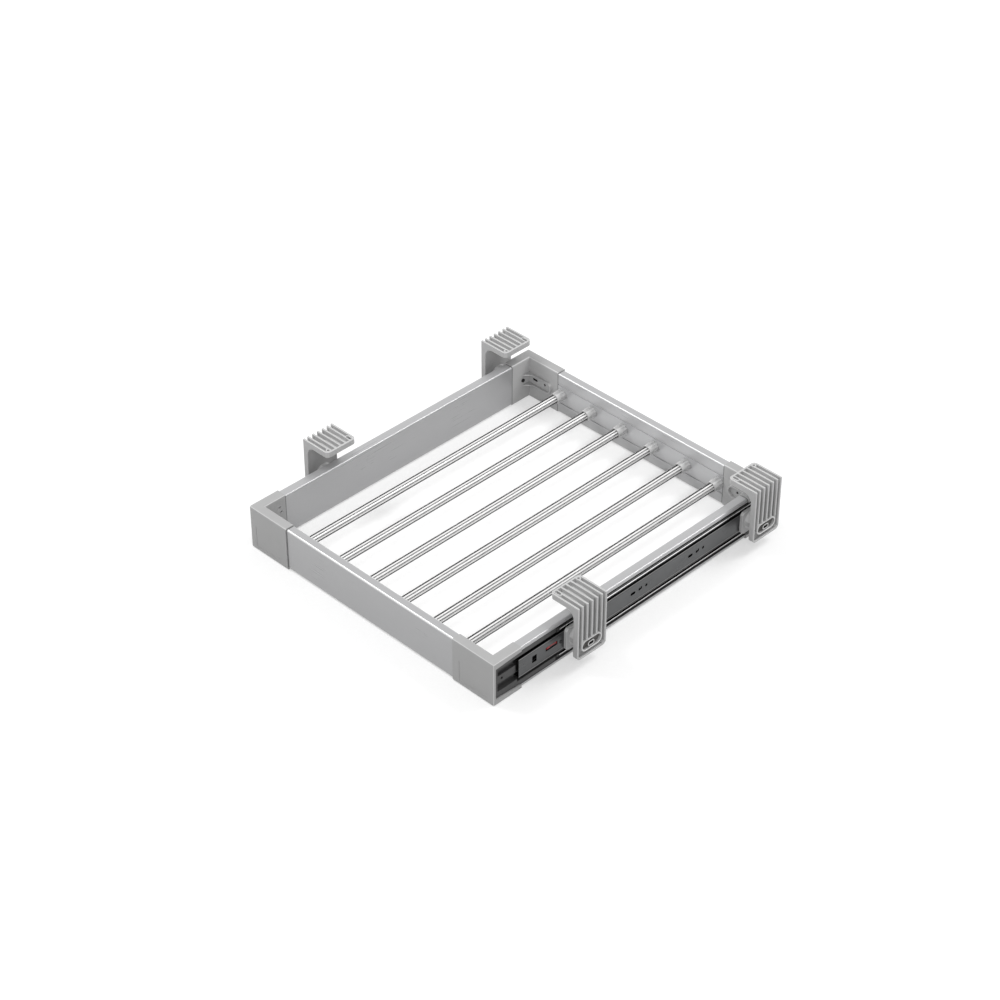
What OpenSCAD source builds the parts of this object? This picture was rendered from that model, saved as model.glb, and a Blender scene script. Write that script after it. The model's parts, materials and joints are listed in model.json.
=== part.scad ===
// Pull-out trouser rack on a pair of ball slides, hung between four ribbed brackets.
// X is zero on the plane of symmetry, Y is zero midway between the bracket slots and
// grows toward the back, and Z is zero at the height of the slides.

/* [Rack frame] */
// Width of the rack over its corner caps
frame_w = 434; // [400:1:600]
// Depth of the rack over its corner caps
frame_d = 500; // [460:1:560]
// Height of the corner caps
cap_h = 64; // [58:0.5:70]
// Step from the faces of a corner cap down to the rails
rail_step = 1.5; // [0.5:0.1:2]
// Thickness of the front and back rails
cross_rail_t = 12.7; // [10:0.1:18]
// Wall of the hollow front and back rails
cross_wall = 1.6; // [1.2:0.1:2.5]
// Web of the side rails, which carries the slide
side_web = 1.3; // [1:0.1:2.5]
// Radius of the long edges of rails and caps
edge_r = 2.4; // [1:0.1:3.2]
// How much larger the radius of a cap's upright outer corner is
corner_extra = 0.4; // [0.1:0.1:3]
// Height of the hollow flanges above and below the channel of the side rails
flange_h = 4.5; // [4:0.1:6]
// Wall around the hollow flanges of the side rails
flange_wall = 1.3; // [1:0.1:1.5]
// Inset of the flange cavities from the faces of the side rail
flange_inset = 2; // [1.5:0.1:4]
// Width of each groove along the inner face of the front and back rails
groove_w = 2.5; // [1:0.1:4]
// Depth of those grooves
groove_depth = 0.8; // [0.3:0.1:1]
// Distance between the two grooves
groove_pitch = 27.6; // [24:0.1:34]

/* [Corner caps] */
// Length of a cap along the front or back rail
cap_wing_x = 69; // [62:0.5:80]
// Length of a cap along the side rail
cap_wing_y = 46.5; // [44:0.5:56]
// Length of the plugs that the caps push into the rails
plug_l = 24; // [12:1:30]
// Clearance around the plugs
plug_gap = 0.1; // [0.05:0.05:0.3]
// Room above and below the sockets' spigots, where the plugs are forked
fork_room = 1; // [0.5:0.1:3]
// Wall in front of the opening in the side of a front cap
opening_wall = 3.5; // [2:0.1:5]
// From the top or bottom of the cap to that opening, at its front end
opening_edge = 8.5; // [8:0.1:10]
// Length of the two small slots in the side wing of a front cap
side_slot_l = 4.6; // [3:0.1:6]
// Width of those slots
side_slot_w = 2; // [1:0.1:3]
// Tilt of those slots in degrees
side_slot_tilt = 18; // [0:1:40]
// From the front face to the upper slot
side_slot_y = 36.5; // [30:0.1:40]
// From the top of the cap down to the upper slot
side_slot_top = 14.7; // [12:0.1:18]
// From the upper slot down to the lower one
side_slot_drop = 7.8; // [5:0.1:9]
// From the upper slot back to the lower one
side_slot_shift = 2.2; // [0:0.1:4]
// Height of the screw rim in the inside corner
rim_h = 18; // [14:0.5:24]
// Radius of the hollow front edge of the rim
rim_r = 16; // [10:0.5:20]
// Stand-off of the rim from the front or back wing
rim_reach = 3.5; // [2:0.1:5]
// How far the hollow edge of the rim runs on into the side wing
rim_foot = 0.6; // [0.3:0.1:1.5]
// Length of the rim along the front or back wing
rim_l = 43.5; // [36:0.5:48]
// Wall of the rim
rim_wall = 1.6; // [1:0.1:2.5]
// Width of the screw holes inside the rim
rim_hole_d = 3.5; // [2.5:0.1:4.5]
// Length of the long hole inside the rim
rim_slot_l = 9; // [6:0.5:12]
// Depth of the blind holes inside the rim
rim_hole_depth = 6; // [3:0.5:8]
// From the side wing to the round hole inside the rim
rim_hole_in = 29.5; // [27:0.5:32]
// Height of the bare panel on the front of a front cap
panel_h = 29.8; // [16:0.1:40]
// Width of that panel
panel_w = 47; // [20:1:50]
// From the bottom of the cap up to that panel
panel_edge = 6.7; // [4:0.1:12]
// Depth of that panel
panel_depth = 0.3; // [0.2:0.1:1]

/* [Channel inserts] */
// Air between an insert and the opening or channel around it
insert_gap = 1; // [0.5:0.1:1.5]
// How far the insert's face lies behind the face of the side rail
insert_step = 0.3; // [0.1:0.1:1]
// Height of the bands above and below the cabinet member
insert_band_h = 6.5; // [4:0.1:7]
// Thickness of the insert behind the cabinet member
insert_back_t = 3; // [2:0.1:3.6]
// Length of the insert's border behind the front face
insert_border = 3.5; // [2:0.1:5]
// How much higher the lower band is in front of the cabinet member
insert_ledge = 4; // [0:0.1:6]
// Height of the rib in front of the cabinet member
insert_rib_h = 11.6; // [8:0.1:14]
// How far the rib's face lies behind the insert's face
insert_rib_step = 2.7; // [1:0.1:4]
// Depth of the grooves above and below the rib
insert_groove_depth = 3.5; // [1:0.1:5]
// Air between the insert's front block and the cabinet member
insert_front_air = 2.5; // [1:0.1:5]
// Air between the insert's end and the buffer
insert_end_air = 1; // [0.5:0.1:3]
// Bore in the rib
insert_hole_d = 3.5; // [2:0.1:5]
// Distance of that bore from the front face
insert_hole_y = 17.7; // [12:0.1:24]

/* [Hanging bars] */
// Number of bars
bar_count = 6; // [3:1:7]
// Diameter over the lands of a bar
bar_d = 12; // [10:0.5:16]
// From the side of the rack to the middle of the outermost bar
bar_edge = 77; // [74:0.5:90]
// Number of flutes around a bar
flute_count = 10; // [6:1:16]
// Turn of the first flute up from the bar's side, in degrees
flute_turn = 27; // [0:1:36]
// Width of a flute's cutting circle
flute_d = 1.8; // [1:0.1:2.2]
// Bore of a bar
bar_bore = 8; // [5:0.5:8.5]
// Outer diameter of the plain collar of a socket
socket_d = 15.6; // [14:0.1:20]
// Outer diameter over the ribs of a socket
socket_rib_d = 17.4; // [16:0.1:22]
// Length of a socket
socket_l = 15; // [10:0.5:20]
// Length of the ribs of a socket
socket_rib_l = 8; // [4:0.5:9]
// Number of ribs around a socket
socket_rib_count = 12; // [6:1:16]
// Width of a socket rib
socket_rib_w = 1.6; // [1:0.1:2.4]
// Floor of a socket against the rail
socket_floor = 1.6; // [1:0.1:3]
// Diameter of the spigot that passes into the rail
spigot_d = 8; // [5:0.5:10]
// Clearance of a bar in its socket
bar_gap = 0.05; // [0.03:0.01:0.1]

/* [Slides] */
// Room above and below the slide in the channel
slide_room = 3.25; // [2.5:0.05:4]
// Thickness of the slide
slide_t = 12.7; // [12.2:0.1:14]
// Sheet thickness of the rack and cabinet members
sheet = 1.2; // [1:0.1:1.4]
// From the front face of the rack to the front of the rack member
rack_member_front = 112; // [110:1:130]
// From the back face of the rack to the end of the rack member
rack_member_back = 8; // [4:0.5:20]
// Height of the lips that close the rack member
lip_h = 3.4; // [2.5:0.1:3.6]
// From the front face of the rack to the front of the cabinet member
cabinet_member_front = 43; // [40:0.5:44]
// From the back face of the rack to the end of the cabinet member
cabinet_member_back = 7; // [5:0.5:20]
// Air between the cabinet member's face and the lips of the rack member
face_gap = 5.35; // [4.5:0.05:5.6]
// Lead of the middle member in front of the rack member
middle_lead = 4; // [1:0.5:10]
// Flange thickness of the middle member
middle_flange_t = 1.9; // [1.5:0.1:2.2]
// Thickness of the ball cages
cage_t = 0.4; // [0.3:0.1:0.5]
// Air between the webs of neighbouring members and cages
web_gap = 0.3; // [0.25:0.05:0.4]
// Diameter of the outer balls
outer_ball_d = 3.96; // [3.6:0.01:4.1]
// Diameter of the inner balls
inner_ball_d = 3.175; // [2.9:0.005:3.3]
// Air between a ball and its raceways
race_gap = 0.22; // [0.2:0.01:0.3]
// Depth of the raceways in the rack and middle members
race_depth = 0.2; // [0.1:0.05:0.4]
// Depth of the raceways in the cabinet member
cabinet_race_depth = 1; // [0.6:0.1:1.2]
// Clearance of a ball in its cage
ball_fit = 0.05; // [0.03:0.01:0.1]
// Length of the outer ball cages
outer_cage_l = 170; // [120:1:180]
// Length of the inner ball cages
inner_cage_l = 230; // [160:1:240]
// Middle of the outer cages behind the middle of the brackets
outer_cage_y = 0.4; // [-5:0.1:5]
// Middle of the inner cages in front of the middle of the brackets
inner_cage_y = 34.6; // [25:0.1:40]
// Number of balls in a row of an outer cage
outer_ball_count = 8; // [4:1:9]
// Number of balls in a row of an inner cage
inner_ball_count = 10; // [5:1:12]
// Length of the black buffer on the front of the rack member
buffer_l = 5; // [3:0.5:8]

/* [Brackets] */
// From the front face of the rack to the slot of a front bracket
bracket_front = 139.6; // [138.6:0.1:146]
// From the back face of the rack to the slot of a back bracket
bracket_back = 40.4; // [36:0.1:60]
// Width of a bracket
bracket_w = 49.6; // [48:0.2:56]
// Reach of the bracket's outer face beyond the rack
bracket_reach = 25.5; // [24:0.1:32]
// Thickness of the bracket's leg
leg_t = 7.5; // [6.5:0.1:9]
// Thickness of the bracket's flange
flange_t = 8; // [6.5:0.1:10]
// From the slots up to the top of the flange
bracket_rise = 63.5; // [60:0.5:80]
// From the slots down to the foot of the leg
bracket_drop = 16.5; // [14:0.5:24]
// Reach of the flange inward over the rack
flange_in = 20.7; // [14:0.1:24]
// Radius inside the angle of the bracket
bracket_inner_r = 13; // [6:0.5:16]
// Radius of the corners at the foot of the leg
foot_r = 6; // [3:0.5:8]
// Radius of the corners at the end of the flange
flange_end_r = 5.5; // [3:0.5:8]
// Thickness of the end plates, the border and the ribs
plate_t = 2.5; // [1.5:0.1:3]
// Wall under the grooves between the ribs
floor_wall = 2.7; // [2:0.1:3.2]
// Number of ribs between the end plates
rib_count = 5; // [2:1:6]
// From the middle of an end plate to the middle of the first rib
rib_edge = 6.95; // [5:0.05:9]
// Length of the long recess at the foot
foot_recess_l = 32; // [28:0.5:36]
// Height of the long recess at the foot
foot_recess_h = 12.8; // [12:0.2:16]
// Rim around the long recess
foot_rim = 1.8; // [1.2:0.1:2.4]
// Depth of the long recess
foot_recess_depth = 3.8; // [2:0.1:4]
// Length of the fixing slot
slot_l = 8; // [6:0.5:10]
// Width of the fixing slot
slot_w = 4; // [3:0.1:5]
// Rim around the fixing slot
slot_rim = 1.8; // [1:0.1:2.2]
// Height of that rim over the floor of the recess
slot_rim_h = 2.8; // [0.5:0.1:3.2]
// How far the slot lies below the middle of the recess
slot_drop = 1.5; // [0:0.1:2]
// Diameter of the round hole in the flange
flange_hole_d = 3.5; // [2.5:0.1:4]
// Length of the long hole in the flange
flange_slot_l = 9; // [6:0.5:10]
// Distance of both holes from the side edges of the flange
flange_hole_edge = 6.4; // [5.5:0.1:8]
// Distance of the round hole from the end of the flange
flange_hole_in = 5; // [4.5:0.1:8]
// Rim around the two holes in the flange
flange_hole_rim = 1.6; // [1:0.1:2]

/* [Spacers] */
// Length of the spacer's pad along the slide
pad_l = 40; // [36:0.5:42]
// Air between the pad and the lips of the rack member
pad_gap = 2.85; // [2:0.05:4]
// Thickness of the pad
pad_t = 4.5; // [3:0.1:6]
// Corner radius of the pad
pad_r = 5; // [3:0.5:8]
// Diameter of the round boss between pad and bracket
boss_d = 31; // [28:0.5:32]
// Bore through the spacer
spacer_bore = 9; // [7:0.5:10]
// Distance between the two screws of a spacer
spacer_screw_pitch = 22; // [18:0.5:23]

/* [Release levers] */
// From the front of the cabinet member to the lever's pin
lever_pin_y = 71.5; // [68:0.5:74]
// Height of the pin relative to the middle of the slide
lever_pin_z = -1; // [-2:0.1:0]
// Diameter of the pin
lever_pin_d = 2.4; // [2:0.1:3]
// Diameter of the pin's head
lever_head_d = 4.4; // [4:0.1:6]
// Thickness of the pin's head
lever_head_t = 0.7; // [0.4:0.1:1]
// Radial clearance of the lever on its pin
lever_fit = 0.05; // [0.03:0.01:0.1]
// Diameter of the lever's hub
lever_hub_d = 6; // [5:0.1:7]
// Thickness of the lever
lever_t = 2.6; // [2:0.1:3.5]
// Air between the lever and the cabinet member
lever_gap = 0.4; // [0.3:0.1:0.8]
// From the pin to the tip of the lever
lever_l = 24; // [20:0.5:26]
// Height of the lever's thumb tab
tab_h = 2.6; // [2:0.1:3]
// Length of the thumb tab
tab_l = 16; // [12:0.5:18]
// Height of the tab's middle above the pin
tab_rise = 3.7; // [3:0.1:4.5]
// Length of the window for the tab
window_l = 20; // [19.5:0.5:22]
// Room below the tab for its travel
window_below = 2.4; // [2:0.1:3]
// Room above the tab
window_above = 0.4; // [0.3:0.1:0.8]

/* [Holes and screws] */
// Width of the square hole near the front of the cabinet member
square_hole_w = 7.5; // [5:0.1:9]
// Height of that hole
square_hole_h = 10; // [7:0.1:12]
// From the front of the cabinet member to that hole
square_hole_y = 26.4; // [20:0.1:32]
// Place of the front group of small holes, as a share of the way between the brackets
front_group_share = 0.355; // [0.3:0.005:0.4]
// Place of the back group of small holes on that way
back_group_share = 0.683; // [0.6:0.005:0.72]
// Distance between the holes of a group
hole_step = 12; // [10:0.1:13]
// Length of the long hole of a group
group_slot_l = 8.6; // [6:0.1:9.5]
// Width of the holes of a group
group_hole_w = 4; // [3:0.1:5]
// Shank diameter of the spacer screws
screw_d = 4; // [3:0.1:4.5]
// Head diameter of the spacer screws
screw_head_d = 7; // [6:0.1:8]
// Head thickness of the spacer screws
screw_head_t = 2; // [1.5:0.1:3]
// Clearance of the screws in the parts they pass
screw_gap = 0.1; // [0.05:0.01:0.2]
// Length of the screws' bite in the bracket
screw_bite = 3; // [2:0.1:3.4]
// Number of screws that hold each rack member
slide_screw_count = 3; // [2:1:4]
// From the front of the rack member to the first of those screws
slide_screw_front = 62; // [20:0.5:80]
// From the back cap to the last of those screws
slide_screw_back = 23.5; // [5:0.5:40]
// Shank diameter of those screws and the corner screws
small_screw_d = 3; // [2.5:0.1:3.4]
// Head diameter of those screws
small_head_d = 5.4; // [5:0.1:5.8]
// Head thickness of the corner screws
small_head_t = 1.4; // [1:0.1:2]

/* [Hidden] */
$fn = 72;
// Overrun of every cut past the face it opens
over = 1;

alu = [0.74, 0.74, 0.76];
moulding = [0.68, 0.68, 0.69];
zinc = [0.42, 0.43, 0.44];
bright = [0.85, 0.85, 0.86];
black = [0.08, 0.08, 0.09];
dark_moulding = [0.3, 0.3, 0.31];
red = [0.72, 0.06, 0.06];

// Side numbers: -1 is the left side and 1 the right; -1 is the front and 1 the back
LEFT = -1;
RIGHT = 1;
FRONT = -1;
BACK = 1;

bracket_pitch = frame_d - bracket_front - bracket_back;
front_y = -bracket_front - bracket_pitch / 2;
back_y = front_y + frame_d;
corner_r = edge_r + corner_extra;
rail_h = cap_h - 2 * rail_step;
channel_h = rail_h - 2 * flange_h;
// Thickness of the caps' wings: their inner faces lie flush with the rails
cross_t = rail_step + cross_rail_t;
side_t = rail_step + slide_t + side_web;
// Depth of the side rails' channel below the cap's outer face
channel_depth = rail_step + slide_t;
inner_front_y = front_y + cross_t;
inner_back_y = back_y - cross_t;
// Hollow flange of a side rail
flange_z = (channel_h + flange_h) / 2;
cavity_h = flange_h - 2 * flange_wall;
cavity_w = side_t - rail_step - 2 * flange_inset;
cavity_x = (side_t + rail_step) / 2;
// Hollow of a front or back rail
hollow_w = cross_rail_t - 2 * cross_wall;
hollow_h = rail_h - 2 * cross_wall;
hollow_r = max(edge_r - cross_wall, cross_wall / 2);
bar_pitch = (frame_w - 2 * bar_edge) / (bar_count - 1);

// Layers of a slide, measured out from the side rail's web
slide_h = channel_h - 2 * slide_room;
outer_cage_u = sheet + web_gap;
middle_u = outer_cage_u + cage_t + web_gap;
inner_cage_u = middle_u + sheet + web_gap;
cabinet_flange_u = inner_cage_u + cage_t + web_gap;
cabinet_web_u = slide_t - sheet;
outer_race_r = outer_ball_d / 2 + race_gap;
inner_race_r = inner_ball_d / 2 + race_gap;
outer_ball_u = slide_t / 2;
inner_ball_u = cabinet_flange_u + inner_race_r + sheet;
// Rows of a slide, measured up and down from its middle
outer_ball_v = slide_h / 2 - sheet + race_depth - outer_race_r;
middle_v = outer_ball_v - outer_race_r + race_depth;
middle_in_v = middle_v - middle_flange_t;
inner_ball_v = middle_in_v + race_depth - inner_race_r;
cabinet_flange_v = inner_ball_v - inner_race_r + cabinet_race_depth;
lip_v = slide_h / 2 - lip_h;
cabinet_member_h = 2 * (lip_v - face_gap);
middle_end_u = slide_t - sheet - web_gap;
// Folded ball strips reach as far past the balls as before them
outer_strip_u = 2 * outer_ball_u - outer_cage_u - outer_ball_d / 2;
inner_strip_u = inner_ball_u + inner_ball_d;
strip_t = 1.5 * cage_t;

rack_member_y0 = front_y + rack_member_front;
rack_member_y1 = back_y - rack_member_back;
middle_y0 = rack_member_y0 - middle_lead;
middle_y1 = rack_member_y1 - middle_lead;
cabinet_y0 = front_y + cabinet_member_front;
cabinet_y1 = back_y - cabinet_member_back;
slide_screw_y0 = rack_member_y0 + slide_screw_front;
slide_screw_y1 = back_y - cap_wing_y - slide_screw_back;
slide_screw_pitch = (slide_screw_y1 - slide_screw_y0) / (slide_screw_count - 1);

// Bracket planes, measured inward from the rack's side
bracket_x = -bracket_reach;
leg_in_x = bracket_x + leg_t;
flange_bottom = bracket_rise - flange_t;
rib_pitch = (bracket_w - plate_t - 2 * rib_edge) / (rib_count - 1);
recess_floor_x = bracket_x + foot_recess_depth;

// Release lever: heights are relative to the middle of the slide
tab_z = lever_pin_z + tab_rise;
lever_u1 = cabinet_web_u - lever_gap;
lever_u0 = lever_u1 - lever_t;
lever_y = cabinet_y0 + lever_pin_y;

// Draws a section of X and Z points along Y
module along_y(y0, y1) {
    translate([0, y1, 0]) rotate([90, 0, 0]) linear_extrude(y1 - y0) children();
}

// Draws a section of Y and Z points along X
module along_x(x0, x1) {
    translate([x0, 0, 0]) rotate([90, 0, 90]) linear_extrude(x1 - x0) children();
}

// Draws a plan of X and Y points up along Z
module along_z(z0, z1) {
    translate([0, 0, z0]) linear_extrude(z1 - z0) children();
}

// Round bar along X
module rod_x(x0, x1, d) {
    translate([x0, 0, 0]) rotate([0, 90, 0]) cylinder(h = x1 - x0, d = d);
}

// Round bar along Y
module rod_y(y0, y1, d) {
    translate([0, y0, 0]) rotate([-90, 0, 0]) cylinder(h = y1 - y0, d = d);
}

// Puts what is drawn inward from the rack's left face on the given side
module at_side(side) {
    translate([side * frame_w / 2, 0, 0]) mirror([side == RIGHT ? 1 : 0, 0, 0]) children();
}

// Puts a cap, drawn from its outer corner at the front left, in its corner
module at_corner(side, end) {
    at_side(side)
        translate([0, end == FRONT ? front_y : back_y, 0])
            mirror([0, end == BACK ? 1 : 0, 0]) children();
}

module round_rect(w, h, r) {
    square([w - 2 * r, h], center = true);
    square([w, h - 2 * r], center = true);
    for (x = [-1, 1], y = [-1, 1])
        translate([x * (w / 2 - r), y * (h / 2 - r)]) circle(r);
}

module obround(l, w) {
    square([l - w, w], center = true);
    for (x = [-1, 1]) translate([x * (l - w) / 2, 0]) circle(d = w);
}

// Front or back rail as a section: hollow, with two grooves on its inner face
module cross_rail_section() {
    difference() {
        translate([rail_step + cross_rail_t / 2, 0]) round_rect(cross_rail_t, rail_h, edge_r);
        translate([rail_step + cross_rail_t / 2, 0]) round_rect(hollow_w, hollow_h, hollow_r);
        for (s = [-1, 1])
            translate([cross_t, s * groove_pitch / 2])
                square([2 * groove_depth, groove_w], center = true);
    }
}

// Left edge of the rail's span, between the caps
rail_x = frame_w / 2 - cap_wing_x;

module bar_places() {
    for (i = [0 : bar_count - 1]) translate([(i - (bar_count - 1) / 2) * bar_pitch, 0, 0]) children();
}

module cross_rail() {
    difference() {
        along_x(-rail_x, rail_x) cross_rail_section();
        bar_places() rod_y(cross_t - cross_wall - over, cross_t + over, spigot_d + 2 * plug_gap);
    }
}

module front_rail() color(alu) translate([0, front_y, 0]) cross_rail();
module back_rail() color(alu) translate([0, back_y, 0]) mirror([0, 1, 0]) cross_rail();

// Side rail as a section: a channel that opens outward, between two hollow flanges
module side_rail_section() {
    difference() {
        translate([(rail_step + side_t) / 2, 0]) round_rect(side_t - rail_step, rail_h, edge_r);
        translate([0, -channel_h / 2]) square([channel_depth, channel_h]);
        flange_cavities(0);
    }
}

module flange_cavities(gap) {
    for (s = [-1, 1])
        translate([cavity_x, s * flange_z])
            square([cavity_w - 2 * gap, cavity_h - 2 * gap], center = true);
}

module slide_screw_places() {
    for (i = [0 : slide_screw_count - 1])
        translate([0, slide_screw_y0 + i * slide_screw_pitch, 0]) children();
}

module side_rail() {
    difference() {
        along_y(front_y + cap_wing_y, back_y - cap_wing_y) side_rail_section();
        slide_screw_places() rod_x(channel_depth - over, channel_depth + side_web / 2, small_screw_d);
    }
}

module left_rail() color(alu) at_side(LEFT) side_rail();
module right_rail() color(alu) at_side(RIGHT) side_rail();

// Section of a wing, out from the cap's outer face: only its inner edges are rounded
module wing_section(t) {
    translate([t / 2, 0]) round_rect(t, cap_h, edge_r);
    translate([0, -cap_h / 2]) square([t / 2, cap_h]);
}

// Block as high as the cap, whose outer edges and outer corner are rounded
module cap_block() {
    reach = cap_wing_x + over;
    depth = cap_wing_y + over;
    along_y(corner_r, depth) translate([reach, 0]) round_rect(2 * reach, cap_h, edge_r);
    along_x(corner_r, reach) translate([depth, 0]) round_rect(2 * depth, cap_h, edge_r);
    translate([corner_r, corner_r, 0]) rotate_extrude() intersection() {
        round_rect(2 * corner_r, cap_h, edge_r);
        translate([0, -cap_h / 2]) square([corner_r, cap_h]);
    }
}

module cap_wings() {
    intersection() {
        union() {
            along_y(0, cap_wing_y) wing_section(side_t);
            along_x(0, cap_wing_x) wing_section(cross_t);
        }
        cap_block();
    }
}

// Plugs that push into the hollow rails: the long one is forked round the sockets' spigots
module cap_plugs() {
    plug_r = max(hollow_r - plug_gap, plug_gap);
    along_x(cap_wing_x - over, cap_wing_x + plug_l)
        translate([rail_step + cross_rail_t / 2, 0]) difference() {
            round_rect(hollow_w - 2 * plug_gap, hollow_h - 2 * plug_gap, plug_r);
            square([hollow_w, spigot_d + 2 * fork_room], center = true);
        }
    along_y(cap_wing_y - over, cap_wing_y + plug_l) flange_cavities(plug_gap);
}

// Plan of the rim in the inside corner, drawn from the inner faces of the wings
module rim_plan() {
    difference() {
        union() {
            translate([-over, -over]) square([rim_r + over, rim_r + rim_reach + over]);
            translate([-over, -over]) square([rim_l + over, rim_reach + over]);
        }
        translate([rim_r - rim_foot, rim_r + rim_reach]) circle(rim_r);
    }
}

// Face of the rim seen from the rack's middle: its end on the wing is round
module rim_face(h) {
    translate([-over, -h / 2]) square([rim_l - rim_h / 2 + over, h]);
    translate([rim_l - rim_h / 2, 0]) circle(d = h);
}

module corner_rim() {
    translate([side_t, cross_t, 0]) intersection() {
        along_z(-rim_h / 2, rim_h / 2) rim_plan();
        translate([0, rim_r + rim_reach + over, 0]) rotate([90, 0, 0])
            linear_extrude(rim_r + rim_reach + 2 * over) rim_face(rim_h);
    }
}

// Space inside the rim, open to the middle of the rack, and its screw holes
module corner_rim_space() {
    translate([side_t, cross_t, 0]) {
        translate([0, rim_r + rim_reach + over, 0]) rotate([90, 0, 0])
            linear_extrude(rim_r + rim_reach + over) intersection() {
                rim_face(rim_h - 2 * rim_wall);
                translate([0, -rim_h]) square([rim_l, 2 * rim_h]);
            }
        translate([rim_r - rim_slot_l / 2, 0, 0]) rotate([90, 0, 0])
            linear_extrude(rim_hole_depth) obround(rim_slot_l, rim_hole_d);
        translate([rim_hole_in, 0, 0]) rod_y(-rim_hole_depth, over, rim_hole_d);
    }
}

// Where the side wing is screwed: in the middle of the rim's hollow edge
side_hole_y = cross_t + rim_r - rim_reach;

// Side opening of a front cap, with the given air around what fills it
module side_opening(gap, y_end) {
    front_h = cap_h / 2 - opening_edge - gap;
    full_h = channel_h / 2 - gap;
    polygon([
        [opening_wall + gap, -front_h], [cap_wing_y, -full_h], [y_end, -full_h],
        [y_end, full_h], [cap_wing_y, full_h], [opening_wall + gap, front_h]
    ]);
}

module front_cap() {
    difference() {
        union() {
            cap_wings();
            cap_plugs();
            corner_rim();
        }
        corner_rim_space();
        along_x(-over, channel_depth) side_opening(0, cap_wing_y + plug_l + over);
        for (i = [0, 1])
            translate([0, side_slot_y + i * side_slot_shift, cap_h / 2 - side_slot_top - i * side_slot_drop])
                rotate([side_slot_tilt, 0, 0])
                    along_x(channel_depth - over, side_t + over) obround(side_slot_l, side_slot_w);
        translate([cap_wing_x / 2, 0, -cap_h / 2 + panel_edge + panel_h / 2])
            cube([panel_w, 2 * panel_depth, panel_h], center = true);
    }
}

// The slide passes out through the open side and back of a back cap
module back_cap() {
    difference() {
        union() {
            cap_wings();
            cap_plugs();
            corner_rim();
        }
        corner_rim_space();
        translate([-over, -over, -channel_h / 2])
            cube([channel_depth + over, cap_wing_y + plug_l + 2 * over, channel_h]);
        translate([0, side_hole_y, 0])
            rod_x(channel_depth - over, side_t + over, small_screw_d + 2 * screw_gap);
    }
}

module front_left_cap() color(moulding) at_corner(LEFT, FRONT) front_cap();
module front_right_cap() color(moulding) at_corner(RIGHT, FRONT) front_cap();
module back_left_cap() color(moulding) at_corner(LEFT, BACK) back_cap();
module back_right_cap() color(moulding) at_corner(RIGHT, BACK) back_cap();

// Fluted tube between the floors of its two sockets
module bar(i) {
    x = (i - (bar_count + 1) / 2) * bar_pitch;
    y0 = inner_front_y + socket_floor;
    y1 = inner_back_y - socket_floor;
    if (i <= bar_count) color(bright) translate([x, 0, 0]) along_y(y0, y1) difference() {
        circle(d = bar_d);
        for (k = [0 : flute_count - 1])
            rotate(flute_turn + k * 360 / flute_count) translate([bar_d / 2, 0]) circle(d = flute_d);
        circle(d = bar_bore);
    }
}

module bar_1() bar(1);
module bar_2() bar(2);
module bar_3() bar(3);
module bar_4() bar(4);
module bar_5() bar(5);
module bar_6() bar(6);

// Socket drawn from the rail's inner face toward +Y, its spigot into the rail
module socket() {
    difference() {
        union() {
            rod_y(0, socket_l, socket_d);
            rod_y(-cross_wall - spigot_d / 4, over, spigot_d);
            along_y(0, socket_rib_l) intersection() {
                circle(d = socket_rib_d);
                for (k = [0 : socket_rib_count - 1])
                    rotate(k * 360 / socket_rib_count)
                        translate([0, -socket_rib_w / 2]) square([socket_rib_d, socket_rib_w]);
            }
        }
        rod_y(socket_floor, socket_l + over, bar_d + 2 * bar_gap);
    }
}

module front_sockets() color(moulding) translate([0, inner_front_y, 0]) bar_places() socket();
module back_sockets() color(moulding) translate([0, inner_back_y, 0]) mirror([0, 1, 0]) bar_places() socket();

// Short screws with low heads, seen in the corner rims of the back caps
module corner_screw() {
    rod_x(side_t, side_t + small_head_t, small_head_d);
    rod_x(channel_depth - sheet, side_t + small_head_t / 2, small_screw_d);
}

module corner_screws() color(black) for (side = [LEFT, RIGHT])
    at_corner(side, BACK) translate([0, side_hole_y, 0]) corner_screw();

// Dark insert: it closes the front of the channel and runs on above and below the cabinet member
module channel_insert() {
    face_x = rail_step + insert_step;
    rib_x = face_x + insert_rib_step;
    y0 = opening_wall + insert_gap + insert_border;
    y1 = cabinet_member_front - insert_front_air;
    y_end = rack_member_front - buffer_l - insert_end_air;
    top = channel_h / 2 - insert_gap - insert_band_h;
    ledge = insert_ledge - top;
    difference() {
        along_x(face_x, channel_depth) side_opening(insert_gap, y_end);
        translate([0, y1, -top]) cube([channel_depth - insert_back_t, y_end - y1 + over, 2 * top]);
        translate([0, y0, ledge]) cube([rib_x, y1 - y0 + over, top - ledge]);
        translate([0, y0, insert_rib_h / 2])
            cube([rib_x + insert_groove_depth, y1 - y0 + over, top - insert_rib_h / 2]);
        translate([0, y0, ledge])
            cube([rib_x + insert_groove_depth, y1 - y0 + over, -insert_rib_h / 2 - ledge]);
        translate([0, insert_hole_y, 0]) rod_x(0, channel_depth - insert_back_t, insert_hole_d);
    }
}

module left_channel_insert() color(dark_moulding) at_corner(LEFT, FRONT) channel_insert();
module right_channel_insert() color(dark_moulding) at_corner(RIGHT, FRONT) channel_insert();

// Draws a slide section, given out from the web and up from the middle, along the side rail
module slide_bar(y0, y1) {
    along_y(y0, y1) translate([channel_depth, 0]) mirror([1, 0]) children();
}

module ball_rows(u, v) {
    for (s = [-1, 1]) translate([u, s * v]) children();
}

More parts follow.
